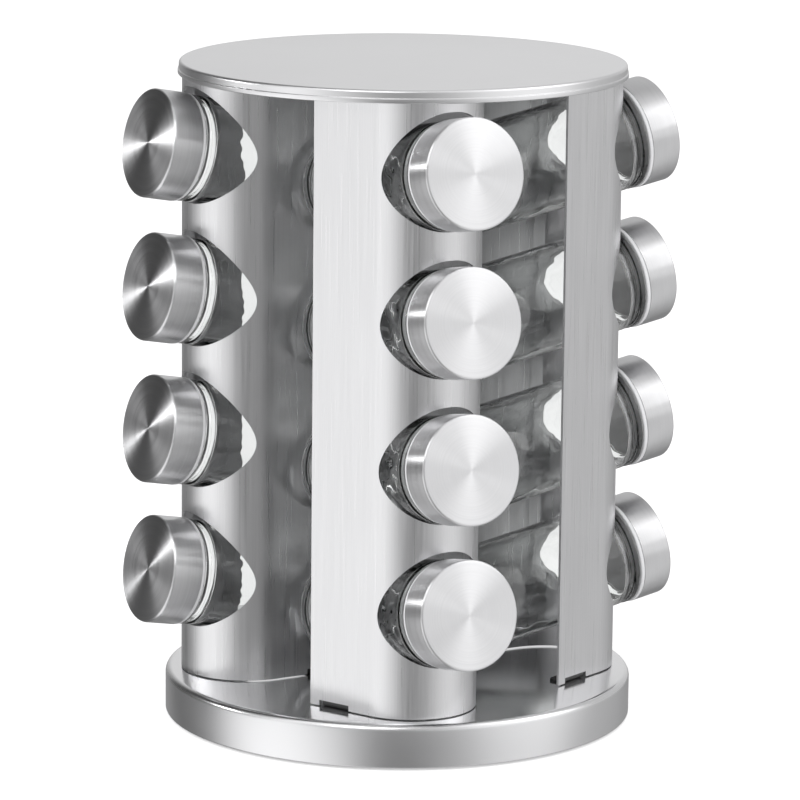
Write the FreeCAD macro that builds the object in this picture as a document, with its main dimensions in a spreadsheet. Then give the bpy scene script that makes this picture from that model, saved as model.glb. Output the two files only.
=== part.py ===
import FreeCAD, Part
import Sketcher
import math
import os

# Revolving rack for sixteen spice jars, in millimetres, +Z up.
# The origin is the centre of the footprint, on the surface that the rack stands on.
# Jar columns point along -Y, +X, +Y and -X: the front, right, back and left columns.

SIZES = {
    # base pan and top disc
    "panProud": 4.75, "panFoot": 1.0, "panTop": 18.5, "panSheet": 0.8, "panEdge": 2.6,
    "rimGap": 0.894, "discTop": 267.6, "discRim": 5.2, "discSheet": 0.8, "discEdge": 1.2,
    "hemHeight": 2.4, "hemEdge": 0.7,
    # bent panels
    "wallSheet": 1.0, "armFace": 0.9, "holeMargin": 3.4, "bendDepth": 56.0,
    "bendSweep": 157.9, "flatLength": 29.5, "edgeGap": 0.5, "seatGap": 0.3,
    "tabWidth": 13.0, "tabDepth": 9.0, "tabBend": 2.0, "tabLap": 0.5, "tabSlit": 0.8,
    "flatTabInset": 11.8, "armTabInset": 21.5,
    # jars and their seats
    "jarTilt": 10.5, "topMargin": 30.2, "bottomMargin": 45.92, "capProud": 18.6,
    "holeGap": 1.7, "holeEase": 1.8,
    "jarRadius": 21.2, "jarWall": 2.0, "jarFloor": 3.0, "jarRound": 3.0,
    "neckStep": 2.0, "neckWall": 2.4, "lipDrop": 2.0, "beadTop": 14.9, "beadEnd": 17.4,
    "beadProud": 0.1, "shoulder": 19.4, "grooveDepth": 0.9, "beadRound": 0.9,
    "shoulderRound": 0.7, "innerRound": 2.0,
    # caps
    "capSheet": 0.4, "capDepth": 13.0, "capEdge": 1.0, "linerWall": 1.8,
    "linerPlate": 1.3, "linerRim": 1.5, "rimInset": 0.15, "capFit": 0.05, "threadGap": 0.3,
    # turntable
    "footHeight": 3.0, "footRadius": 6.0, "footInset": 10.0, "plateGap": 7.4, "plateSheet": 1.2,
    "ballRadius": 3.0, "ballInset": 12.0, "ballHeight": 8.5, "raceHalfGap": 1.5, "raceHalfWidth": 6.0,
    "raceClear": 0.05, "raceInset": 14.0, "raceSheet": 1.2, "raceTop": 14.0, "raceLip": 4.0,
    "cageHalfWidth": 5.0, "cageHalfHeight": 0.9,
    "pivotRadius": 4.0, "pivotClear": 0.04, "pivotHead": 8.0, "pivotHeadHeight": 1.4,
}

COLUMNS = ["front", "right", "back", "left"]
ROWS = 4
FEET = 6
BALLS = 12


def value(words):
    """Adds up a spaced sum such as "panTop - panSheet"."""
    total = 0.0
    sign = 1
    for word in words.split():
        if word in ("+", "-"):
            sign = 1 if word == "+" else -1
        else:
            total += sign * (SIZES[word] if word in SIZES else float(word))
    return total


def follow(alias, words):
    """Adds a size that follows from others."""
    SIZES[alias] = value(words)


# the hole lets the jar through, and the panel's nose is bent just wider than the hole
follow("holeRadius", "jarRadius + holeGap")
follow("bendRadius", "holeRadius + holeMargin")
follow("capOut", "bendDepth + bendRadius + capProud")

# the disc covers the noses, and the pan stands out past the disc
SIZES["noseReach"] = math.hypot(value("armFace + bendRadius"), value("bendDepth")) + value("bendRadius")
follow("discRadius", "noseReach + rimGap + discSheet")
follow("panRadius", "discRadius + panProud")

# rows are spaced evenly between the pan and the disc
follow("topRow", "discTop - topMargin")
follow("bottomRow", "panTop + bottomMargin")
SIZES["rowPitch"] = value("topRow - bottomRow") / (ROWS - 1)

# the neck steps in from the jar's side, and the cap fits over the neck
follow("neckRadius", "jarRadius - neckStep")
follow("grooveRadius", "jarRadius - grooveDepth")
follow("beadRadius", "jarRadius + beadProud")
follow("capRadius", "neckRadius + threadGap + linerWall + capFit + capSheet")
follow("linerRimRadius", "capRadius - rimInset")

# the turntable fills the pan
follow("plateRadius", "panRadius - panSheet - panSheet - plateGap")
follow("footRing", "plateRadius - footInset")
follow("raceRadius", "plateRadius - raceInset")
follow("ballRing", "raceRadius - ballInset")

# the jar is as long as its pocket: its raised rear edge leans on the arm behind it
lean = math.radians(SIZES["jarTilt"])
edgeRise = value("jarRadius - jarRound") * math.sin(lean)
straight = value("capOut + armFace - seatGap - jarRound") - edgeRise
SIZES["jarLength"] = SIZES["jarRound"] + straight / math.cos(lean)

doc = FreeCAD.newDocument("SpiceCarousel")
sheet = doc.addObject("Spreadsheet::Sheet", "sizes")
for line, (alias, amount) in enumerate(SIZES.items(), 1):
    sheet.set(f"A{line}", alias)
    sheet.set(f"B{line}", str(amount))
    sheet.setAlias(f"B{line}", alias)
doc.recompute()


def bound(words):
    """The same sum as an expression on the sheet's cells."""
    return " ".join(f"sizes.{word}" if word in SIZES else word for word in words.split())


def bind(feature, **sums):
    for name, words in sums.items():
        feature.setExpression(name, bound(words))
    return feature


def place(feature, expression):
    feature.setExpression("Placement", expression)
    return feature


def at(x="0", y="0", z="0", turn=""):
    """A placement expression from three sums and an optional rotation."""
    centre = f"vector({bound(x)}; {bound(y)}; {bound(z)})"
    return f"placement({centre}; {turn or 'rotationz(0)'})"


def columnTurn(column):
    return at(turn=f"rotationz({90 * column})")


def jarSpot(row):
    """The cap face of one jar of the front column, with local Z out along the jar."""
    height = f"sizes.topRow - {row} * sizes.rowPitch"
    across = "-sizes.armFace - sizes.bendRadius"
    return f"placement(vector({across}; -sizes.capOut; {height}); rotationx(90 - sizes.jarTilt))"


def newBody(label):
    body = doc.addObject("PartDesign::Body", label)
    body.Label = label
    return body


def newSketch(body, plane):
    sketch = body.newObject("Sketcher::SketchObject", body.Name + "Sketch")
    support = [f for f in body.Origin.OriginFeatures if f.Role == plane][0]
    sketch.AttachmentSupport = [(support, "")]
    sketch.MapMode = "FlatFace"
    return sketch


def constrain(sketch, words, *constraint):
    """Adds one constraint whose size is a sum bound to the sheet."""
    index = sketch.addConstraint(Sketcher.Constraint(*constraint, value(words)))
    sketch.setExpression(f"Constraints[{index}]", bound(words))


def steppedOutline(sketch, levels, rounds=None):
    """Closed outline of upright and level lines: levels holds the x of an upright line, then the
    height of a level one, and so on. rounds maps a corner, counted from the first, to its radius."""
    rounds = rounds or {}
    count = len(levels)
    corners = []
    for i in range(count):
        across, up = (i, i + 1) if i % 2 == 0 else (i + 1, i)
        corners.append(FreeCAD.Vector(value(levels[across % count]), value(levels[up % count]), 0))
    trims = [value(rounds[i]) if i in rounds else 0.0 for i in range(count)]
    for i in range(count):
        start, end = corners[i - 1], corners[i]
        along = (end - start).normalize()
        sketch.addGeometry(Part.LineSegment(start + along * trims[i - 1], end - along * trims[i]), False)
        sketch.addConstraint(Sketcher.Constraint("Vertical" if i % 2 == 0 else "Horizontal", i))
        if levels[i] == "0":
            sketch.addConstraint(Sketcher.Constraint("PointOnObject", i, 1, -2 if i % 2 == 0 else -1))
        else:
            constrain(sketch, levels[i], "DistanceX" if i % 2 == 0 else "DistanceY", -1, 1, i, 1)
    for i in range(count):
        after = (i + 1) % count
        if i not in rounds:
            sketch.addConstraint(Sketcher.Constraint("Coincident", i, 2, after, 1))
            continue
        before = (corners[i - 1] - corners[i]).normalize()
        onward = (corners[after] - corners[i]).normalize()
        radius = trims[i]
        centre = corners[i] + (before + onward) * radius
        middle = centre - (before + onward).normalize() * radius
        bend = Part.Arc(corners[i] + before * radius, middle, corners[i] + onward * radius)
        arc = sketch.addGeometry(bend, False)
        # an arc runs anticlockwise, so its first end may be the far one
        first = sketch.getPoint(arc, 1).distanceToPoint(corners[i] + before * radius) < radius / 2
        near, far = (1, 2) if first else (2, 1)
        sketch.addConstraint(Sketcher.Constraint("Tangent", i, 2, arc, near))
        sketch.addConstraint(Sketcher.Constraint("Tangent", after, 1, arc, far))
        constrain(sketch, rounds[i], "Radius", arc)


def turned(label, levels, rounds=None):
    """A body of revolution about its own Z."""
    body = newBody(label)
    sketch = newSketch(body, "XZ_Plane")
    steppedOutline(sketch, levels, rounds)
    revolution = body.newObject("PartDesign::Revolution", label + "Turned")
    revolution.Profile = sketch
    revolution.ReferenceAxis = (sketch, ["V_Axis"])
    revolution.Angle = 360
    return body


def combined(kind, label, parts):
    feature = doc.addObject(kind, label)
    feature.Label = label
    if kind == "Part::Cut":
        feature.Base, feature.Tool = parts
    elif kind == "Part::Compound":
        feature.Links = parts
    else:
        feature.Shapes = parts
    if kind != "Part::Compound":
        feature.Refine = True
    return feature


def ring(kind, label, count, radius, height, **sums):
    """count equal primitives on a circle about the main axis, as one group."""
    copies = []
    for i in range(count):
        copy = bind(doc.addObject(kind, f"{label}One"), **sums)
        turn = f"placement(vector(0; 0; 0); rotationz({360.0 * i / count}))"
        copies.append(place(copy, f"{turn} * {at(x=radius, z=height)}"))
    return combined("Part::Compound", label, copies)


def basePan():
    return turned("base_pan", [
        "panRadius", "panFoot", "panRadius - panSheet - panSheet", "panFoot + hemHeight",
        "panRadius - panSheet", "panTop - panSheet", "0", "panTop",
    ], {0: "hemEdge", 1: "hemEdge", 4: "panEdge - panSheet", 7: "panEdge"})


def topDisc():
    return turned("top_disc", [
        "discRadius", "discTop - discRim", "discRadius - discSheet", "discTop - discSheet",
        "0", "discTop",
    ], {2: "discEdge - discSheet", 5: "discEdge"})


def bentWall(label):
    """The upright sheet: arm, round nose and flat, padded from the pan to the disc."""
    body = newBody(label)
    sketch = newSketch(body, "XY_Plane")
    outer, wall = value("bendRadius"), value("wallSheet")
    inner = outer - wall
    centre = FreeCAD.Vector(value("- armFace - bendRadius"), -value("bendDepth"), 0)
    sweep = math.radians(value("bendSweep"))
    out = FreeCAD.Vector(math.cos(sweep), -math.sin(sweep), 0)
    along = FreeCAD.Vector(-math.sin(sweep), -math.cos(sweep), 0) * value("flatLength")
    armEnd = FreeCAD.Vector(centre.x, value("armFace - seatGap"), 0)
    right = FreeCAD.Vector(1, 0, 0)
    halfway = FreeCAD.Vector(math.cos(sweep / 2), -math.sin(sweep / 2), 0)

    def strip(radius):
        return [armEnd + right * radius, centre + right * radius, centre + halfway * radius,
                centre + out * radius, centre + out * radius + along]

    far, near = strip(outer), strip(inner)
    sketch.addGeometry([
        Part.LineSegment(far[0], far[1]), Part.Arc(far[1], far[2], far[3]), Part.LineSegment(far[3], far[4]),
        Part.LineSegment(far[4], near[4]),
        Part.LineSegment(near[4], near[3]), Part.Arc(near[3], near[2], near[1]),
        Part.LineSegment(near[1], near[0]),
        Part.LineSegment(near[0], far[0]),
    ], False)
    for first, firstEnd, second, secondEnd in ((2, 2, 3, 1), (3, 2, 4, 1), (6, 2, 7, 1), (7, 2, 0, 1)):
        sketch.addConstraint(Sketcher.Constraint("Coincident", first, firstEnd, second, secondEnd))
    for arc, before, after in ((1, 0, 2), (5, 4, 6)):
        start = (far[1] if arc == 1 else near[3])
        first = sketch.getPoint(arc, 1).distanceToPoint(start) < wall / 2
        head, tail = (1, 2) if first else (2, 1)
        sketch.addConstraint(Sketcher.Constraint("Tangent", before, 2, arc, head))
        sketch.addConstraint(Sketcher.Constraint("Tangent", after, 1, arc, tail))
    sketch.addConstraint(Sketcher.Constraint("Coincident", 1, 3, 5, 3))
    sketch.addConstraint(Sketcher.Constraint("Vertical", 0))
    sketch.addConstraint(Sketcher.Constraint("Vertical", 6))
    sketch.addConstraint(Sketcher.Constraint("Horizontal", 7))
    sketch.addConstraint(Sketcher.Constraint("Parallel", 2, 4))
    sketch.addConstraint(Sketcher.Constraint("Perpendicular", 2, 3))
    constrain(sketch, "- armFace - bendRadius", "DistanceX", -1, 1, 1, 3)
    constrain(sketch, "- bendDepth", "DistanceY", -1, 1, 1, 3)
    constrain(sketch, "bendRadius", "Radius", 1)
    constrain(sketch, "bendRadius - wallSheet", "Radius", 5)
    constrain(sketch, "armFace - seatGap", "DistanceY", -1, 1, 0, 1)
    constrain(sketch, "flatLength", "Distance", 2)
    slope = sketch.addConstraint(Sketcher.Constraint("Angle", 2, math.radians(270 - value("bendSweep"))))
    sketch.setExpression(f"Constraints[{slope}]", "(270 - sizes.bendSweep) * 1deg")
    pad = body.newObject("PartDesign::Pad", label + "Pad")
    pad.Profile = sketch
    bind(pad, Length="discTop - discSheet - edgeGap - panTop - edgeGap")
    place(body, at(z="panTop + edgeGap"))
    return body


def tabShape(label):
    """A tab folded in from a wall's edge; the wall's outer face is at x = 0, the fold at z = 0."""
    body = newBody(label)
    sketch = newSketch(body, "XZ_Plane")
    steppedOutline(sketch, ["0", "0", "- tabDepth", "wallSheet", "- wallSheet", "tabBend + tabLap"],
                   {0: "tabBend", 3: "tabBend - wallSheet"})
    pad = body.newObject("PartDesign::Pad", label + "Pad")
    pad.Profile = sketch
    pad.Midplane = True
    bind(pad, Length="tabWidth")
    return body


def tabSpots():
    """Where the four tabs of a front panel sit: on the arm and the flat, at foot and head."""
    arm = at(x="- armFace", y="armTabInset - bendDepth")
    centre = at(x="- armFace - bendRadius", y="- bendDepth", turn="rotationz(-sizes.bendSweep)")
    flat = f"{centre} * {at(x='bendRadius', y='flatTabInset - flatLength')}"
    foot = at(z="panTop")
    head = at(z="discTop - discSheet", turn="rotationx(180)")
    return [f"{foot} * {arm}", f"{foot} * {flat}", f"{arm} * {head}", f"{flat} * {head}"]


def panel(column):
    label = f"panel_{COLUMNS[column]}"
    tools = []
    for row in range(ROWS):
        # each hole is a little wider than round, towards the arm
        for ease in ("0", "holeEase"):
            hole = doc.addObject("Part::Cylinder", f"{label}Hole{row}")
            bind(hole, Radius="holeRadius", Height="capOut - bendDepth")
            lift = at(x=ease, y="holeRadius - jarRadius - seatGap", z="- capOut + bendDepth")
            tools.append(place(hole, f"{jarSpot(row)} * {lift}"))
    tabs = []
    for spot in tabSpots():
        slit = doc.addObject("Part::Box", f"{label}Slit")
        bind(slit, Length="wallSheet + wallSheet + wallSheet", Width="tabWidth + tabSlit + tabSlit",
             Height="tabBend + tabBend")
        slitCorner = (f"placement(vector(-2 * sizes.wallSheet; -sizes.tabWidth / 2 - sizes.tabSlit;"
                      f" -sizes.tabBend); rotationz(0))")
        tools.append(place(slit, f"{spot} * {slitCorner}"))
        tab = tabShape(f"{label}Tab")
        tabs.append(place(tab, spot))
    cutter = combined("Part::MultiFuse", f"{label}Cutter", tools)
    wall = combined("Part::Cut", f"{label}Wall", (bentWall(f"{label}Sheet"), cutter))
    whole = combined("Part::MultiFuse", label, [wall] + tabs)
    return place(whole, columnTurn(column))


def jar(name):
    """A glass jar: local Z runs out through the mouth, and z = 0 is the closed cap's face."""
    return turned(name, [
        "0", "- jarLength",
        "jarRadius", "- shoulder",
        "grooveRadius", "- beadEnd",
        "beadRadius", "- beadTop",
        "neckRadius", "- lipDrop",
        "neckRadius - neckWall", "- shoulder",
        "jarRadius - jarWall", "- jarLength + jarFloor",
    ], {1: "jarRound", 2: "shoulderRound", 5: "beadRound", 6: "beadRound", 8: "beadRound",
        9: "beadRound", 12: "innerRound"})


def capShell(name):
    return turned(name, [
        "capRadius", "0", "0", "- capSheet", "capRadius - capSheet", "- capDepth",
    ], {0: "capEdge", 3: "capEdge - capSheet"})


def capLiner(name):
    return turned(name, [
        "capRadius - capSheet - capFit", "- capSheet - capFit", "0",
        "- capSheet - capFit - linerPlate", "neckRadius + threadGap", "- capDepth - linerRim",
        "linerRimRadius", "- capDepth - capFit",
    ], {0: "capEdge - capSheet"})


def footPlate():
    flat = turned("footPlateFlat", [
        "plateRadius", "footHeight", "pivotRadius + pivotClear", "footHeight + plateSheet",
        "ballRing - raceHalfWidth", "ballHeight - raceHalfGap",
        "ballRing + raceHalfWidth", "footHeight + plateSheet",
    ])
    return grooved("foot_plate", flat)


def upperRace():
    flat = turned("upperRaceFlat", [
        "pivotRadius + pivotClear", "raceTop", "raceRadius - raceLip", "panTop - panSheet",
        "raceRadius", "raceTop - raceSheet", "ballRing + raceHalfWidth", "ballHeight + raceHalfGap",
        "ballRing - raceHalfWidth", "raceTop - raceSheet",
    ])
    return grooved("upper_race", flat)


def grooved(label, blank):
    """Cuts the ball track into a race."""
    track = doc.addObject("Part::Torus", label + "Track")
    bind(track, Radius1="ballRing", Radius2="ballRadius + raceClear")
    place(track, at(z="ballHeight"))
    return combined("Part::Cut", label, (blank, track))


def ballCage():
    band = turned("ballCageBand", [
        "ballRing + cageHalfWidth", "ballHeight + cageHalfHeight",
        "ballRing - cageHalfWidth", "ballHeight - cageHalfHeight",
    ])
    pockets = ring("Part::Sphere", "ballCagePockets", BALLS, "ballRing", "ballHeight",
                   Radius="ballRadius + raceClear")
    return combined("Part::Cut", "ball_cage", (band, pockets))


def centreRivet():
    return turned("centre_rivet", [
        "0", "footHeight - pivotHeadHeight", "pivotHead", "footHeight", "pivotRadius",
        "raceTop + seatGap", "pivotHead", "raceTop + seatGap + pivotHeadHeight",
    ])


def build():
    parts = [basePan(), topDisc(), footPlate(), upperRace(), ballCage(), centreRivet()]
    parts.append(ring("Part::Cylinder", "rubber_feet", FEET, "footRing", "0",
                      Radius="footRadius", Height="footHeight"))
    parts.append(ring("Part::Sphere", "race_balls", BALLS, "ballRing", "ballHeight",
                      Radius="ballRadius"))
    for column, side in enumerate(COLUMNS):
        parts.append(panel(column))
        for row in range(ROWS):
            spot = f"{columnTurn(column)} * {jarSpot(row)}"
            for make, kind in ((jar, "jar"), (capLiner, "cap_liner"), (capShell, "cap")):
                parts.append(place(make(f"{kind}_{side}_{row + 1}"), spot))
    return parts


def save(parts):
    for feature in doc.Objects:
        if "Invalid" in feature.State or "Error" in feature.State:
            raise SystemExit(f"{feature.Label}: {feature.State}")
    for part in parts:
        if part.Shape.isNull() or not part.Shape.isValid():
            raise SystemExit(f"{part.Label}: no valid shape")
    os.makedirs("parts", exist_ok=True)
    for part in parts:
        part.Shape.exportStep(f"parts/{part.Label}.step")
        print(part.Label, len(part.Shape.Solids), round(part.Shape.Volume, 1))


pieces = build()
doc.recompute()
save(pieces)
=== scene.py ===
import math
import bpy
from mathutils import Matrix, Vector


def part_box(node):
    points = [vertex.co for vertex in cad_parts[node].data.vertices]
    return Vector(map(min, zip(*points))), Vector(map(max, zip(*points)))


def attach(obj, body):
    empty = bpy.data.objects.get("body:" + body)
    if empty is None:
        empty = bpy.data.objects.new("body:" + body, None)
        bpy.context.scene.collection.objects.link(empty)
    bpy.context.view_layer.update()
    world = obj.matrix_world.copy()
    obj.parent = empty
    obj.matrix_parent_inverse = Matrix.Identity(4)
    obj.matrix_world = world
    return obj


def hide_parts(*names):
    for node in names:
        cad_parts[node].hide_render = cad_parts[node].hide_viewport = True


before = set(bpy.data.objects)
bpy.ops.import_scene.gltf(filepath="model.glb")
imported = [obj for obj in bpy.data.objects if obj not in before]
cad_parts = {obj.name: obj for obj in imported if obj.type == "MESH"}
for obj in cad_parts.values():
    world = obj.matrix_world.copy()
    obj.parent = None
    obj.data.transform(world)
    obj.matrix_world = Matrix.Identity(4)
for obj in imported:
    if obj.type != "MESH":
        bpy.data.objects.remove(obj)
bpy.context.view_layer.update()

milli = 0.001
sides = ["front", "right", "back", "left"]
rows = 4


# ---- small helpers ----

def deselectAll():
    if bpy.context.object and bpy.context.object.mode != "OBJECT":
        bpy.ops.object.mode_set(mode="OBJECT")
    bpy.ops.object.select_all(action="DESELECT")


def nameNewPiece(pieceName):
    piece = bpy.context.object
    piece.name = pieceName
    piece.data.name = pieceName
    return piece


def applyAll(piece):
    deselectAll()
    piece.select_set(True)
    bpy.context.view_layer.objects.active = piece
    for modifier in list(piece.modifiers):
        bpy.ops.object.modifier_apply(modifier=modifier.name)


def smoothPiece(piece, degrees=32):
    deselectAll()
    piece.select_set(True)
    bpy.context.view_layer.objects.active = piece
    bpy.ops.object.shade_smooth_by_angle(angle=math.radians(degrees))


def copyPiece(piece, pieceName, place):
    twin = bpy.data.objects.new(pieceName, piece.data.copy())
    twin.data.name = pieceName
    twin.data.transform(place)
    bpy.context.scene.collection.objects.link(twin)
    return twin


def finishPiece(piece, body, slotName, *nodes):
    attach(piece, body)
    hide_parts(*nodes)


def softOutline(corners, steps=6):
    # corners hold (radius, height, rounding) in millimetres; the result is in metres
    outline = []
    for i, (r, h, rounding) in enumerate(corners):
        here = Vector((r, h))
        if rounding <= 0:
            outline.append(here * milli)
            continue
        before = (Vector(corners[i - 1][:2]) - here).normalized()
        after = (Vector(corners[i + 1][:2]) - here).normalized()
        opening = before.angle(after)
        reach = rounding / math.tan(opening / 2)
        centre = here + (before + after).normalized() * (rounding / math.sin(opening / 2))
        first = here + before * reach - centre
        turn = first.angle_signed(here + after * reach - centre)
        for step in range(steps + 1):
            angle = -turn * step / steps
            spoke = Vector((first.x * math.cos(angle) - first.y * math.sin(angle),
                            first.x * math.sin(angle) + first.y * math.cos(angle)))
            outline.append((centre + spoke) * milli)
    return outline


def turnPiece(pieceName, corners, segments=128, steps=6):
    # a closed shell turned about local Z; the corners start and end near the axis
    outline = softOutline(corners, steps)
    deselectAll()
    bpy.ops.mesh.primitive_circle_add(vertices=segments, radius=outline[0].x, fill_type="TRIFAN",
                                      location=(0, 0, outline[0].y))
    piece = nameNewPiece(pieceName)
    bpy.ops.object.transform_apply(location=True)
    bpy.ops.object.mode_set(mode="EDIT")
    bpy.ops.mesh.select_all(action="DESELECT")
    bpy.ops.mesh.select_mode(type="VERT")
    bpy.ops.mesh.select_non_manifold()
    for last, point in zip(outline, outline[1:]):
        bpy.ops.mesh.extrude_edges_move(TRANSFORM_OT_translate={"value": (0, 0, point.y - last.y)})
        scale = point.x / last.x
        bpy.ops.transform.resize(value=(scale, scale, 1), center_override=(0, 0, point.y))
    bpy.ops.mesh.extrude_edges_move()
    bpy.ops.mesh.merge(type="CENTER")
    bpy.ops.mesh.select_all(action="SELECT")
    bpy.ops.mesh.normals_make_consistent(inside=False)
    bpy.ops.object.mode_set(mode="OBJECT")
    wrapAround(piece)
    smoothPiece(piece)
    return piece


def wrapAround(piece):
    # u runs round the axis, v out along the face and down the skirt, in metres
    layer = piece.data.uv_layers.new(name="grain") if not piece.data.uv_layers else piece.data.uv_layers[0]
    layer.name = "grain"
    for face in piece.data.polygons:
        angles = []
        for index in face.vertices:
            co = piece.data.vertices[index].co
            atPole = co.xy.length < 1e-6
            angles.append(None if atPole else math.atan2(co.y, co.x) / math.tau)
        known = [a for a in angles if a is not None]
        if max(known) - min(known) > 0.5:
            angles = [a + 1 if a is not None and a < 0 else a for a in angles]
            known = [a for a in angles if a is not None]
        middle = sum(known) / len(known)
        for corner, index, angle in zip(face.loop_indices, face.vertices, angles):
            co = piece.data.vertices[index].co
            layer.data[corner].uv = (middle if angle is None else angle, co.xy.length + abs(co.z))


def wrapUpright(piece):
    # u runs level along each face and v up it, so the grain is upright
    layer = piece.data.uv_layers.new(name="grain") if not piece.data.uv_layers else piece.data.uv_layers[0]
    layer.name = "grain"
    for face in piece.data.polygons:
        level = Vector((-face.normal.y, face.normal.x, 0))
        flat = level.length < 0.3
        level = Vector((1, 0, 0)) if flat else level.normalized()
        for corner, index in zip(face.loop_indices, face.vertices):
            co = piece.data.vertices[index].co
            layer.data[corner].uv = (co.dot(level), co.y if flat else co.z)


# ---- materials ----

class Recipe:
    # a material being built: adds nodes and links them in one call
    def __init__(self, materialName):
        self.material = bpy.data.materials.new(materialName)
        self.material.use_nodes = True
        self.tree = self.material.node_tree
        self.shader = self.tree.nodes["Principled BSDF"]

    def node(self, kind, settings=None, **inputs):
        added = self.tree.nodes.new(kind)
        for key, value in (settings or {}).items():
            setattr(added, key, value)
        for key, value in inputs.items():
            self.feed(added.inputs[int(key[1:]) if key[0] == "_" else key], value)
        return added

    def feed(self, socket, value):
        if hasattr(value, "is_output"):
            self.tree.links.new(value, socket)
        else:
            socket.default_value = value

    def place(self):
        return self.node("ShaderNodeTexCoord").outputs["Object"]

    def noise(self, vector, scale, detail=3.0, rough=0.5):
        made = self.node("ShaderNodeTexNoise", None, Vector=vector, Scale=scale, Detail=detail, Roughness=rough)
        return made.outputs["Fac"]

    def stretched(self, vector, scale):
        return self.node("ShaderNodeMapping", None, Vector=vector, Scale=scale).outputs["Vector"]

    def spread(self, value, low, high, fromLow=0.0, fromHigh=1.0):
        made = self.node("ShaderNodeMapRange", None, Value=value)
        made.inputs["From Min"].default_value = fromLow
        made.inputs["From Max"].default_value = fromHigh
        made.inputs["To Min"].default_value = low
        made.inputs["To Max"].default_value = high
        return made.outputs["Result"]

    def tint(self, factor, first, second):
        made = self.node("ShaderNodeMix", {"data_type": "RGBA"})
        self.feed(made.inputs["Factor"], factor)
        self.feed(made.inputs[6], (*first, 1))
        self.feed(made.inputs[7], (*second, 1))
        return made.outputs[2]

    def maths(self, operation, first, second=0.0):
        return self.node("ShaderNodeMath", {"operation": operation}, _0=first, _1=second).outputs[0]

    def bump(self, height, strength, distance):
        made = self.node("ShaderNodeBump", None, Height=height, Strength=strength, Distance=distance)
        self.feed(self.shader.inputs["Normal"], made.outputs["Normal"])

    def grainTangent(self):
        made = self.node("ShaderNodeTangent", {"direction_type": "UV_MAP", "uv_map": "grain"})
        self.feed(self.shader.inputs["Tangent"], made.outputs["Tangent"])

    def ringSpace(self, squeeze):
        # a space that closes on itself round the axis: its third axis is v
        uv = self.node("ShaderNodeSeparateXYZ", None,
                       Vector=self.node("ShaderNodeUVMap", {"uv_map": "grain"}).outputs["UV"])
        angle = self.maths("MULTIPLY", uv.outputs["X"], math.tau)
        return self.node("ShaderNodeCombineXYZ", None,
                         X=self.maths("MULTIPLY", self.maths("COSINE", angle), squeeze),
                         Y=self.maths("MULTIPLY", self.maths("SINE", angle), squeeze),
                         Z=uv.outputs["Y"]).outputs["Vector"]


steelLook = {
    "panel": {"light": (0.83, 0.83, 0.84), "dark": (0.68, 0.68, 0.69), "rough": (0.26, 0.38), "stretch": 0.75},
    "pan": {"light": (0.80, 0.80, 0.81), "dark": (0.74, 0.74, 0.75), "rough": (0.30, 0.38), "top": 0.5},
    "disc": {"light": (0.80, 0.80, 0.81), "dark": (0.76, 0.76, 0.77), "rough": (0.30, 0.38), "top": 1.0},
    "cap": {"light": (0.82, 0.82, 0.83), "dark": (0.62, 0.62, 0.63), "rough": (0.28, 0.38), "stretch": 0.93},
}


def uprightSteel():
    look = steelLook["panel"]
    recipe = Recipe("uprightBrushedSteel")
    place = recipe.place()
    fine = recipe.noise(recipe.stretched(place, (1, 1, 0.012)), 1900.0, 2.0)
    broad = recipe.noise(recipe.stretched(place, (1, 1, 0.03)), 320.0, 2.0)
    mixed = recipe.maths("ADD", recipe.maths("MULTIPLY", fine, 0.85), recipe.maths("MULTIPLY", broad, 0.15))
    recipe.feed(recipe.shader.inputs["Base Color"], recipe.tint(mixed, look["dark"], look["light"]))
    recipe.feed(recipe.shader.inputs["Roughness"], recipe.spread(mixed, *look["rough"], 0.3, 0.7))
    recipe.shader.inputs["Metallic"].default_value = 1.0
    recipe.shader.inputs["Anisotropic"].default_value = look["stretch"]
    recipe.bump(mixed, 0.08, 0.0001)
    recipe.grainTangent()
    return recipe.material


def satinSteel(materialName, look):
    recipe = Recipe(materialName)
    place = recipe.place()
    cloud = recipe.noise(place, 40.0, 4.0)
    speck = recipe.noise(place, 3000.0, 2.0)
    mixed = recipe.maths("ADD", recipe.maths("MULTIPLY", cloud, 0.5), recipe.maths("MULTIPLY", speck, 0.5))
    recipe.feed(recipe.shader.inputs["Base Color"], recipe.tint(mixed, look["dark"], look["light"]))
    upward = recipe.node("ShaderNodeSeparateXYZ", None, Vector=recipe.node("ShaderNodeTexCoord").outputs["Normal"])
    polish = recipe.spread(upward.outputs["Z"], 1.0, look["top"])  # the level face is smoother than the skirt
    satin = recipe.maths("MULTIPLY", recipe.spread(mixed, *look["rough"], 0.3, 0.7), polish)
    recipe.feed(recipe.shader.inputs["Roughness"], satin)
    recipe.shader.inputs["Metallic"].default_value = 1.0
    recipe.bump(speck, 0.03, 0.0001)
    return recipe.material


def spunSteel():
    look = steelLook["cap"]
    recipe = Recipe("spunCapSteel")
    rings = recipe.noise(recipe.ringSpace(0.00008), 5200.0, 2.0)
    wide = recipe.noise(recipe.ringSpace(0.0003), 900.0, 2.0)
    mixed = recipe.maths("ADD", recipe.maths("MULTIPLY", rings, 0.6), recipe.maths("MULTIPLY", wide, 0.4))
    recipe.feed(recipe.shader.inputs["Base Color"], recipe.tint(mixed, look["dark"], look["light"]))
    recipe.feed(recipe.shader.inputs["Roughness"], recipe.spread(mixed, *look["rough"], 0.3, 0.7))
    recipe.shader.inputs["Metallic"].default_value = 1.0
    recipe.shader.inputs["Anisotropic"].default_value = look["stretch"]
    recipe.shader.inputs["Anisotropic Rotation"].default_value = 0.25
    recipe.bump(mixed, 0.10, 0.0001)
    recipe.grainTangent()
    return recipe.material


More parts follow.
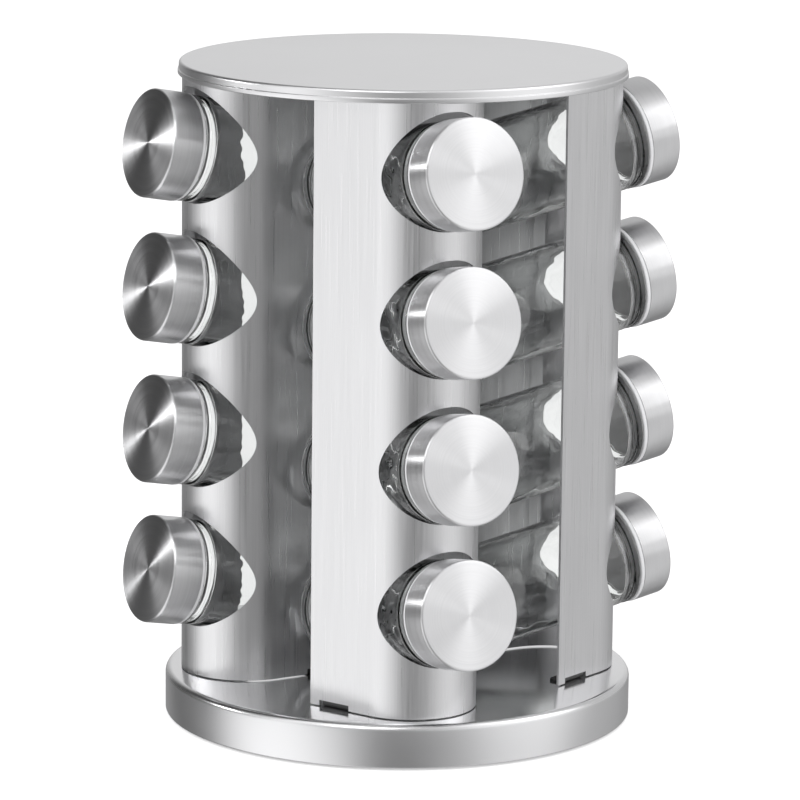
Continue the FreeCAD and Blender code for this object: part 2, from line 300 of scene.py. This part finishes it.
def clearGlass():
    recipe = Recipe("jarGlass")
    ripple = recipe.noise(recipe.stretched(recipe.place(), (1, 1, 1.6)), 90.0, 0.6)
    tint = recipe.tint(ripple, (0.972, 0.982, 0.978), (0.99, 0.995, 0.993))
    recipe.feed(recipe.shader.inputs["Base Color"], tint)
    recipe.feed(recipe.shader.inputs["Roughness"], recipe.spread(ripple, 0.0, 0.02))
    recipe.shader.inputs["IOR"].default_value = 1.5
    recipe.shader.inputs["Transmission Weight"].default_value = 1.0
    recipe.bump(ripple, 0.35, 0.0014)
    return recipe.material


def mouldedPlastic(materialName, light, dark, rough):
    recipe = Recipe(materialName)
    grain = recipe.noise(recipe.place(), 900.0, 3.0)
    recipe.feed(recipe.shader.inputs["Base Color"], recipe.tint(grain, dark, light))
    recipe.feed(recipe.shader.inputs["Roughness"], recipe.spread(grain, rough, rough + 0.08))
    recipe.bump(grain, 0.05, 0.0001)
    return recipe.material


def platedSteel(materialName, light, dark, low, high):
    recipe = Recipe(materialName)
    patches = recipe.noise(recipe.place(), 160.0, 5.0)
    recipe.feed(recipe.shader.inputs["Base Color"], recipe.tint(patches, dark, light))
    recipe.feed(recipe.shader.inputs["Roughness"], recipe.spread(patches, low, high))
    recipe.shader.inputs["Metallic"].default_value = 1.0
    recipe.bump(patches, 0.04, 0.0002)
    return recipe.material


def makeMaterials():
    return {
        "panel": uprightSteel(),
        "pan": satinSteel("basePanSteel", steelLook["pan"]),
        "disc": satinSteel("topDiscSteel", steelLook["disc"]),
        # painted shade: the folded tabs get near-black steel so the slits at the panels' foot and head read as the
        # shadow under the bend
        "fold": platedSteel("foldedTabSteel", (0.16, 0.16, 0.16), (0.08, 0.08, 0.08), 0.45, 0.6),
        "cap": spunSteel(),
        "glass": clearGlass(),
        "liner": mouldedPlastic("capLinerPlastic", (0.90, 0.90, 0.91), (0.84, 0.84, 0.86), 0.35),
        "cage": mouldedPlastic("ballCagePlastic", (0.82, 0.81, 0.77), (0.76, 0.75, 0.71), 0.4),
        "rubber": mouldedPlastic("footRubber", (0.035, 0.035, 0.035), (0.02, 0.02, 0.02), 0.75),
        "zinc": platedSteel("zincPlate", (0.66, 0.67, 0.69), (0.52, 0.53, 0.56), 0.28, 0.45),
        "ball": platedSteel("polishedBall", (0.82, 0.82, 0.83), (0.78, 0.78, 0.79), 0.06, 0.12),
    }


def paint(piece, material):
    piece.data.materials.clear()
    piece.data.materials.append(material)


materials = makeMaterials()
print("materials made:", len(materials))


# ---- base pan and top disc ----

panSettings = {"radius": 95.0, "sheet": 0.8, "edge": 2.6, "hem": 2.4, "hemEdge": 0.7, "pole": 0.4}
discSettings = {"radius": 90.25, "sheet": 0.8, "edge": 1.2, "roll": 1.9, "step": 0.45, "lip": 0.38, "pole": 0.4}


def makeBasePan():
    low, high = (corner.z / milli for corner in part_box("base_pan"))
    radius, sheet, pole = panSettings["radius"], panSettings["sheet"], panSettings["pole"]
    hemEdge, hemTop = panSettings["hemEdge"], low + panSettings["hem"]
    piece = turnPiece("basePan", [
        (pole, high, 0), (radius, high, panSettings["edge"]),
        (radius, low, hemEdge), (radius - 2 * sheet, low, hemEdge),
        (radius - 2 * sheet, hemTop, 0.15), (radius - sheet, hemTop, 0),
        (radius - sheet, high - sheet, panSettings["edge"] - sheet), (pole, high - sheet, 0),
    ], 256)
    paint(piece, materials["pan"])
    finishPiece(piece, "carousel", "pan_steel", "base_pan")


def makeTopDisc():
    low, high = (corner.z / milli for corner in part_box("top_disc"))
    radius, sheet, pole = discSettings["radius"], discSettings["sheet"], discSettings["pole"]
    side, roll = radius - discSettings["step"], low + discSettings["roll"]
    piece = turnPiece("topDisc", [
        (pole, high, 0), (side, high, discSettings["edge"]), (side, roll, discSettings["step"] / 2),
        (radius, roll, discSettings["step"] / 2), (radius, low, discSettings["lip"]),
        (radius - sheet, low, discSettings["lip"]),
        (radius - sheet, high - sheet, discSettings["edge"] - sheet), (pole, high - sheet, 0),
    ], 256)
    paint(piece, materials["disc"])
    finishPiece(piece, "carousel", "disc_steel", "top_disc")


makeBasePan()
makeTopDisc()
print("base pan and top disc made")


# ---- bent panels ----

panelSettings = {
    "sheet": 1.0, "armFace": 0.9, "armGap": 0.3, "bendRadius": 26.3, "bendDepth": 56.0, "sweep": 157.9,
    "flat": 29.5, "bottom": 19.0, "top": 266.3, "bendSteps": 96,
    "tabWidth": 13.0, "tabDepth": 9.0, "tabBend": 2.0, "tabSlit": 0.8, "tabRound": 2.0, "tabSet": 1.0, "tabLap": 2.6, "slitRise": 2.7,
    "flatTabInset": 11.8, "armTabInset": 21.5, "foot": 18.5, "head": 266.8,
}
jarSettings = {
    "tilt": 10.5, "pitch": 57.66, "topRow": 237.4, "capOut": 100.9, "radius": 21.2, "seatGap": 0.3,
    "hole": 22.9, "holeEase": 1.8,
}


def jarPlace(column, row):
    # local Z runs out of the jar's mouth, and z = 0 is the cap's face
    across = -(panelSettings["armFace"] + panelSettings["bendRadius"]) * milli
    height = (jarSettings["topRow"] - row * jarSettings["pitch"]) * milli
    spot = Matrix.Translation((across, -jarSettings["capOut"] * milli, height))
    lean = Matrix.Rotation(math.radians(90 - jarSettings["tilt"]), 4, "X")
    return Matrix.Rotation(math.radians(90 * column), 4, "Z") @ spot @ lean


def bentSheet():
    # one upright line, drawn out as the arm, spun round the nose and drawn out as the flat
    s = {key: value * milli for key, value in panelSettings.items()}
    sweep = math.radians(panelSettings["sweep"])
    start = Vector((-s["armFace"], s["armFace"] - s["armGap"], s["bottom"]))
    centre = (-s["armFace"] - s["bendRadius"], -s["bendDepth"], 0)
    along = Vector((-math.sin(sweep), -math.cos(sweep), 0)) * s["flat"]
    deselectAll()
    bpy.ops.mesh.primitive_plane_add(size=1, location=(0, 0, 0))
    piece = nameNewPiece("panelSheet")
    bpy.ops.object.mode_set(mode="EDIT")
    bpy.ops.mesh.select_all(action="SELECT")
    bpy.ops.mesh.merge(type="CENTER")
    bpy.ops.transform.translate(value=start)
    bpy.ops.mesh.extrude_vertices_move(TRANSFORM_OT_translate={"value": (0, 0, s["top"] - s["bottom"])})
    bpy.ops.mesh.select_all(action="SELECT")
    bpy.ops.mesh.extrude_edges_move(TRANSFORM_OT_translate={"value": (0, -s["bendDepth"] - start.y, 0)})
    bpy.ops.mesh.spin(steps=panelSettings["bendSteps"], angle=sweep, center=centre, axis=(0, 0, 1))
    bpy.ops.mesh.extrude_edges_move(TRANSFORM_OT_translate={"value": along})
    bpy.ops.object.mode_set(mode="OBJECT")
    nose = max(piece.data.polygons, key=lambda face: -face.center.y)
    if nose.normal.y > 0:
        bpy.ops.object.mode_set(mode="EDIT")
        bpy.ops.mesh.select_all(action="SELECT")
        bpy.ops.mesh.flip_normals()
        bpy.ops.object.mode_set(mode="OBJECT")
    thickenSheet(piece)
    return piece


def thickenSheet(piece):
    shell = piece.modifiers.new("thickness", "SOLIDIFY")
    shell.thickness = panelSettings["sheet"] * milli
    shell.offset = -1
    shell.use_even_offset = True
    applyAll(piece)


def holeCutter(row):
    # a drum along the jar's axis, let out a little towards the arm
    length = (jarSettings["capOut"] - panelSettings["bendDepth"]) * milli
    lift = (jarSettings["hole"] - jarSettings["radius"] - jarSettings["seatGap"]) * milli
    deselectAll()
    bpy.ops.mesh.primitive_cylinder_add(vertices=160, radius=jarSettings["hole"] * milli, depth=length,
                                        location=(0, lift, -length / 2))
    piece = nameNewPiece("holeCutter")
    bpy.ops.object.transform_apply(location=True)
    for vertex in piece.data.vertices:
        if vertex.co.x > 0:
            vertex.co.x += jarSettings["holeEase"] * milli
    piece.data.transform(jarPlace(0, row))
    return piece


def slitCutter(spot):
    s = {key: value * milli for key, value in panelSettings.items()}
    deselectAll()
    bpy.ops.mesh.primitive_cube_add(size=1)
    piece = nameNewPiece("slitCutter")
    size = (6 * s["sheet"], s["tabWidth"] + 2 * s["tabSlit"], 2 * s["slitRise"])
    piece.data.transform(spot @ Matrix.Diagonal((*size, 1)))
    return piece


def foldedTab(spot):
    # a tab drawn from the wall's cut edge, spun inwards and drawn out flat
    s = {key: value * milli for key, value in panelSettings.items()}
    deselectAll()
    bpy.ops.mesh.primitive_plane_add(size=1, location=(0, 0, 0))
    piece = nameNewPiece("foldedTab")
    bpy.ops.object.mode_set(mode="EDIT")
    bpy.ops.mesh.select_all(action="SELECT")
    bpy.ops.mesh.merge(type="CENTER")
    bpy.ops.transform.translate(value=(-s["tabSet"], -s["tabWidth"] / 2, s["tabBend"] + s["tabLap"]))
    bpy.ops.mesh.extrude_vertices_move(TRANSFORM_OT_translate={"value": (0, s["tabWidth"], 0)})
    bpy.ops.mesh.select_all(action="SELECT")
    bpy.ops.mesh.extrude_edges_move(TRANSFORM_OT_translate={"value": (0, 0, -s["tabLap"])})
    bpy.ops.mesh.spin(steps=8, angle=math.radians(90), center=(-s["tabSet"] - s["tabBend"], 0, s["tabBend"]),
                      axis=(0, -1, 0))
    bpy.ops.mesh.extrude_edges_move(TRANSFORM_OT_translate={"value": (s["tabBend"] - s["tabDepth"] + s["tabSet"], 0, 0)})
    bpy.ops.mesh.bevel(offset=s["tabRound"], segments=5, affect="VERTICES")
    bpy.ops.object.mode_set(mode="OBJECT")
    foldOut = min(piece.data.polygons, key=lambda face: face.center.x)
    if foldOut.normal.z > 0:
        bpy.ops.object.mode_set(mode="EDIT")
        bpy.ops.mesh.select_all(action="SELECT")
        bpy.ops.mesh.flip_normals()
        bpy.ops.object.mode_set(mode="OBJECT")
    thickenSheet(piece)
    piece.data.transform(spot)
    return piece


def tabSpots():
    s = {key: value * milli for key, value in panelSettings.items()}
    arm = Matrix.Translation((-s["armFace"], s["armTabInset"] - s["bendDepth"], 0))
    centre = Matrix.Translation((-s["armFace"] - s["bendRadius"], -s["bendDepth"], 0))
    turn = Matrix.Rotation(-math.radians(panelSettings["sweep"]), 4, "Z")
    flat = centre @ turn @ Matrix.Translation((s["bendRadius"], s["flatTabInset"] - s["flat"], 0))
    foot = Matrix.Translation((0, 0, s["foot"]))
    head = Matrix.Translation((0, 0, s["head"])) @ Matrix.Rotation(math.pi, 4, "X")
    return [side @ end for side in (arm, flat) for end in (foot, head)]


def cutAway(piece, cutters):
    for cutter in cutters:
        cut = piece.modifiers.new("cut", "BOOLEAN")
        cut.operation = "DIFFERENCE"
        cut.solver = "EXACT"
        cut.object = cutter
    applyAll(piece)
    for cutter in cutters:
        bpy.data.objects.remove(cutter)


def makePanels():
    first = bentSheet()
    spots = tabSpots()
    cutAway(first, [holeCutter(row) for row in range(rows)] + [slitCutter(spot) for spot in spots])
    tabs = [foldedTab(spot) for spot in spots]
    paint(first, materials["panel"])
    deselectAll()
    for tab in tabs:
        # the tabs take the near-black painted-shade steel that stands in for the shadow in the slits
        paint(tab, materials["fold"])
        tab.select_set(True)
    first.select_set(True)
    bpy.context.view_layer.objects.active = first
    bpy.ops.object.join()
    wrapUpright(first)
    smoothPiece(first)
    for column, side in enumerate(sides):
        piece = copyPiece(first, "panel" + side.title(), Matrix.Rotation(math.radians(90 * column), 4, "Z"))
        finishPiece(piece, "carousel", "panel_steel", f"panel_{side}")
    bpy.data.objects.remove(first)


makePanels()
print("panels made")


# ---- jars and caps ----

glassSettings = {
    "wall": 2.0, "floor": 3.0, "heel": 3.0, "puntRadius": 15.0, "puntRise": 1.1, "neck": 19.2, "neckWall": 2.4,
    "lip": 2.0, "beadTop": 14.9, "beadEnd": 17.4, "bead": 21.3, "groove": 20.3, "shoulder": 19.4, "pole": 0.4,
}
capSettings = {"radius": 21.75, "sheet": 0.4, "depth": 13.0, "edge": 1.0, "lip": 0.18, "pole": 0.3}
linerSettings = {"plate": 1.3, "rim": 1.5, "rimRadius": 21.6, "fit": 0.05, "bore": 19.5, "pole": 0.3}


def jarLength():
    # the raised rear edge leans on the arm behind it
    lean = math.radians(jarSettings["tilt"])
    heel = glassSettings["heel"]
    straight = (jarSettings["capOut"] + panelSettings["armFace"] - jarSettings["seatGap"] - heel
                - (jarSettings["radius"] - heel) * math.sin(lean))
    return heel + straight / math.cos(lean)


def glassJar():
    g = glassSettings
    end, radius = -jarLength(), jarSettings["radius"]
    inside, mouth = radius - g["wall"], g["neck"] - g["neckWall"]
    return turnPiece("glassJar", [
        (g["pole"], end + g["puntRise"], 0), (g["puntRadius"], end + g["puntRise"], 1.0),
        (g["puntRadius"] + 1.6, end, 1.0), (radius, end, g["heel"]),
        (radius, -g["shoulder"], 0.7), (g["groove"], -g["shoulder"], 0.15),
        (g["groove"], -g["beadEnd"], 0.5), (g["bead"], -g["beadEnd"], 0.45),
        (g["bead"], -g["beadTop"], 0.9), (g["neck"], -g["beadTop"], 0.5),
        (g["neck"], -g["lip"], 0.9), (mouth, -g["lip"], 0.9),
        (mouth, -g["beadEnd"], 2.5), (inside, -g["shoulder"] - 2.4, 2.5),
        (inside, end + g["floor"] + 0.6, 4.0), (g["pole"], end + g["floor"] + 0.6, 0),
    ], 128)


def capShell():
    c = capSettings
    inner = c["radius"] - c["sheet"]
    return turnPiece("capShell", [
        (c["pole"], 0, 0), (c["radius"], 0, c["edge"]), (c["radius"], -c["depth"], c["lip"]),
        (inner, -c["depth"], c["lip"]), (inner, -c["sheet"], c["edge"] - c["sheet"]), (c["pole"], -c["sheet"], 0),
    ], 160)


def capLiner():
    c, l = capSettings, linerSettings
    outer, top = c["radius"] - c["sheet"] - l["fit"], -c["sheet"] - l["fit"]
    return turnPiece("capLiner", [
        (l["pole"], top, 0), (outer, top, c["edge"] - c["sheet"]), (outer, -c["depth"] - l["fit"], 0.1),
        (l["rimRadius"], -c["depth"] - l["fit"], 0.12), (l["rimRadius"], -c["depth"] - l["rim"], 0.5),
        (l["bore"], -c["depth"] - l["rim"], 0.4), (l["bore"], top - l["plate"], 0.5), (l["pole"], top - l["plate"], 0),
    ], 128)


def makeJars():
    kinds = [(glassJar(), "jar", "glass", "jar_glass"), (capShell(), "cap", "cap", "cap_steel"),
             (capLiner(), "cap_liner", "liner", "liner_plastic")]
    for model, node, material, slotName in kinds:
        for column, side in enumerate(sides):
            for row in range(rows):
                name = f"{node}_{side}_{row + 1}"
                piece = copyPiece(model, f"{model.name}.{side}.{row + 1}", jarPlace(column, row))
                paint(piece, materials[material])
                finishPiece(piece, name, slotName, name)
        bpy.data.objects.remove(model)


makeJars()
print("jars, caps and liners made")


# ---- turntable nodes kept from the frame ----

for nodeName, material in (("foot_plate", "zinc"), ("upper_race", "zinc"), ("centre_rivet", "zinc"),
                           ("rubber_feet", "rubber"), ("ball_cage", "cage"), ("race_balls", "ball")):
    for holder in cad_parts[nodeName].material_slots:
        holder.material = materials[material]


# ---- studio ----

cameraSettings = {"azimuth": -30.6, "pitch": 11.5, "roll": 0.588, "distance": 1.85485, "height": 0.5063, "lens": 209.9}
studioSettings = {
    "floorSize": 12.0, "floorGlow": 0.45, "world": 0.75, "horizon": (-0.13, -0.03),
    # azimuth in degrees, counted from the front towards the right, and brightness
    "below": [(-180, 0.2), (-160, 0.12), (-139, 0.2), (-108, 1.35), (-84, 1.3), (-62, 1.0), (-41, 0.14), (-24, 0.22),
              (0, 0.45), (22, 0.85), (46, 1.0), (76, 0.5), (100, 0.45), (127, 0.3), (180, 0.35)],
    "above": [(-180, 0.2), (-165, 0.06), (-149, 0.04), (-130, 0.05), (-112, 0.38), (-90, 1.2), (-60, 0.6), (-30, 0.3),
              (-5, 0.7), (15, 1.15), (50, 1.15), (80, 0.6), (110, 0.6), (149, 0.8), (180, 0.35)],
}


def makeCamera():
    azimuth = math.radians(cameraSettings["azimuth"])
    reach, height = cameraSettings["distance"], cameraSettings["height"]
    spot = Matrix.Translation((reach * math.sin(azimuth), -reach * math.cos(azimuth), height))
    turn = (Matrix.Rotation(azimuth, 4, "Z") @ Matrix.Rotation(math.radians(90 - cameraSettings["pitch"]), 4, "X")
            @ Matrix.Rotation(math.radians(cameraSettings["roll"]), 4, "Z"))
    lens = bpy.data.cameras.new("studioCamera")
    lens.lens = cameraSettings["lens"]
    lens.sensor_width = 36
    lens.clip_start = 0.05
    camera = bpy.data.objects.new("studioCamera", lens)
    camera.matrix_world = spot @ turn
    bpy.context.scene.collection.objects.link(camera)
    bpy.context.scene.camera = camera


def makeFloor():
    deselectAll()
    bpy.ops.mesh.primitive_plane_add(size=studioSettings["floorSize"], location=(0, 0, 0))
    floor = nameNewPiece("studioFloor")
    floor.visible_glossy = False  # polished steel shows the studio's sides instead
    floor.visible_transmission = False
    recipe = Recipe("studioFloor")
    path = recipe.node("ShaderNodeLightPath")
    seen = recipe.maths("MAXIMUM", path.outputs["Is Camera Ray"], path.outputs["Is Transmission Ray"])
    recipe.shader.inputs["Base Color"].default_value = (0.9, 0.9, 0.9, 1)
    recipe.shader.inputs["Roughness"].default_value = 0.9
    recipe.shader.inputs["Specular IOR Level"].default_value = 0.1
    recipe.shader.inputs["Emission Color"].default_value = (1, 1, 1, 1)
    recipe.feed(recipe.shader.inputs["Emission Strength"], recipe.maths("MULTIPLY", seen, studioSettings["floorGlow"]))
    floor.data.materials.append(recipe.material)


def makeWorld():
    # plain white to the eye and to diffuse light; steel sees the lit and unlit sides of the studio
    world = bpy.data.worlds.new("studioWorld")
    bpy.context.scene.world = world
    world.use_nodes = True
    tree = world.node_tree
    tree.nodes.clear()

    def add(kind, **settings):
        node = tree.nodes.new(kind)
        for key, value in settings.items():
            setattr(node, key, value)
        return node

    def sides(name, turned):
        ramp = add("ShaderNodeValToRGB")
        ramp.color_ramp.interpolation = "EASE"
        stops = studioSettings[name]
        while len(ramp.color_ramp.elements) < len(stops):
            ramp.color_ramp.elements.new(0.5)
        for element, (azimuth, level) in zip(ramp.color_ramp.elements, stops):
            element.position = (azimuth + 180) / 360
            element.color = (level, level, level, 1)
        tree.links.new(turned.outputs["Result"], ramp.inputs["Fac"])
        return ramp.outputs["Color"]

    direction = add("ShaderNodeTexCoord")
    axes = add("ShaderNodeSeparateXYZ")
    tree.links.new(direction.outputs["Generated"], axes.inputs["Vector"])
    back = add("ShaderNodeMath", operation="MULTIPLY")
    back.inputs[1].default_value = -1
    tree.links.new(axes.outputs["Y"], back.inputs[0])
    angle = add("ShaderNodeMath", operation="ARCTAN2")
    tree.links.new(axes.outputs["X"], angle.inputs[0])
    tree.links.new(back.outputs[0], angle.inputs[1])
    turned = add("ShaderNodeMapRange")
    turned.inputs["From Min"].default_value = -math.pi
    turned.inputs["From Max"].default_value = math.pi
    tree.links.new(angle.outputs[0], turned.inputs["Value"])
    rise = add("ShaderNodeMapRange", interpolation_type="SMOOTHSTEP")
    rise.inputs["From Min"].default_value, rise.inputs["From Max"].default_value = studioSettings["horizon"]
    tree.links.new(axes.outputs["Z"], rise.inputs["Value"])
    level = add("ShaderNodeMix", data_type="RGBA")
    tree.links.new(rise.outputs["Result"], level.inputs["Factor"])
    tree.links.new(sides("below", turned), level.inputs[6])
    tree.links.new(sides("above", turned), level.inputs[7])
    plain, glossy, seen = (add("ShaderNodeBackground") for _ in range(3))
    plain.inputs["Color"].default_value = (1, 1, 1, 1)
    plain.inputs["Strength"].default_value = studioSettings["world"]
    seen.inputs["Color"].default_value = (1, 1, 1, 1)
    tree.links.new(level.outputs[2], glossy.inputs["Color"])
    path = add("ShaderNodeLightPath")
    polished, eye = add("ShaderNodeMixShader"), add("ShaderNodeMixShader")
    mirrored = add("ShaderNodeMath", operation="MAXIMUM")
    tree.links.new(path.outputs["Is Glossy Ray"], mirrored.inputs[0])
    tree.links.new(path.outputs["Is Transmission Ray"], mirrored.inputs[1])
    tree.links.new(mirrored.outputs[0], polished.inputs["Fac"])
    tree.links.new(plain.outputs["Background"], polished.inputs[1])
    tree.links.new(glossy.outputs["Background"], polished.inputs[2])
    straight = add("ShaderNodeMath", operation="LESS_THAN")
    tree.links.new(path.outputs["Glossy Depth"], straight.inputs[0])
    straight.inputs[1].default_value = 0.5
    through = add("ShaderNodeMath", operation="MULTIPLY")
    tree.links.new(path.outputs["Is Transmission Ray"], through.inputs[0])
    tree.links.new(straight.outputs[0], through.inputs[1])
    clear = add("ShaderNodeMath", operation="MAXIMUM")
    tree.links.new(path.outputs["Is Camera Ray"], clear.inputs[0])
    tree.links.new(through.outputs[0], clear.inputs[1])
    tree.links.new(clear.outputs[0], eye.inputs["Fac"])
    tree.links.new(polished.outputs["Shader"], eye.inputs[1])
    tree.links.new(seen.outputs["Background"], eye.inputs[2])
    out = add("ShaderNodeOutputWorld")
    tree.links.new(eye.outputs["Shader"], out.inputs["Surface"])


def makeLamp(lampName, spot, size, power):
    lamp = bpy.data.lights.new(lampName, "AREA")
    lamp.size = size
    lamp.energy = power
    holder = bpy.data.objects.new(lampName, lamp)
    holder.location = spot
    holder.rotation_euler = (Vector((0, 0, 0.13)) - Vector(spot)).to_track_quat("-Z", "Y").to_euler()
    bpy.context.scene.collection.objects.link(holder)


makeCamera()
makeFloor()
makeWorld()
makeLamp("keyLamp", (-1.6, -1.4, 1.9), 1.4, 16)
makeLamp("fillLamp", (1.5, -1.2, 1.4), 1.6, 8)
makeLamp("streakLamp", (-1.32, 0.82, 0.52), 0.08, 3)  # draws the thin bright streak on spun caps
bpy.context.scene.view_settings.view_transform = "Standard"
print("studio made")
